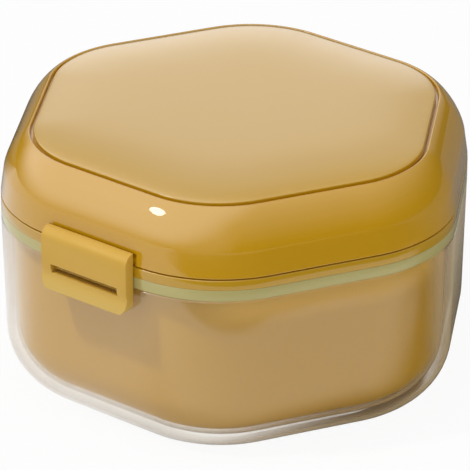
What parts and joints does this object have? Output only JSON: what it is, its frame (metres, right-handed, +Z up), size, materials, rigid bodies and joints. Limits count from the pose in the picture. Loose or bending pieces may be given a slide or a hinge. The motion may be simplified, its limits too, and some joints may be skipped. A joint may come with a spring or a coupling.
{
  "type": "retainer case",
  "caption": "Rounded hexagonal dental retainer case: a clear cup holds a strainer basket, under a domed hinged lid with a silicone seal and a slotted front clip.",
  "frame": {"origin": "middle of the flat underside, on the axis of the hexagonal body", "axes": "+Z up, the latch clip at -Y, the lid's hinge at +Y, corners of the hexagon towards -X and +X"},
  "size_m": [0.0958, 0.0974, 0.0553],
  "materials": {
    "clear_plastic": "clear, gloss",
    "basket_plastic": "satin ochre",
    "silicone": "translucent matte",
    "rim_plastic": "gloss ochre",
    "lid_plastic": "high-gloss ochre",
    "clip_plastic": "satin ochre",
    "steel": "plain"
  },
  "bodies": {
    "cup": {"outer_cup": "clear_plastic", "hinge_pin": "steel"},
    "basket": {"strainer_basket": "basket_plastic"},
    "lid": {"lid_rim": "rim_plastic", "lid_shell": "lid_plastic", "lid_panel": "lid_plastic", "seal_gasket": "silicone", "latch_pin": "steel"},
    "clip": {"latch_clip": "clip_plastic"}
  },
  "joints": [
    {"name": "lid_hinge", "type": "hinge", "parent": "cup", "child": "lid", "pos_m": [0, 0.0473, 0.0381], "axis": [-1, 0, 0], "range_deg": [0, 110]},
    {"name": "clip_pivot", "type": "hinge", "parent": "lid", "child": "clip", "pos_m": [0, -0.04595, 0.04235], "axis": [-1, 0, 0], "range_deg": [0, 95]},
    {"name": "basket_lift", "type": "slide", "parent": "cup", "child": "basket", "axis": [0, 0, 1], "range_m": [0, 0.008]}
  ]
}
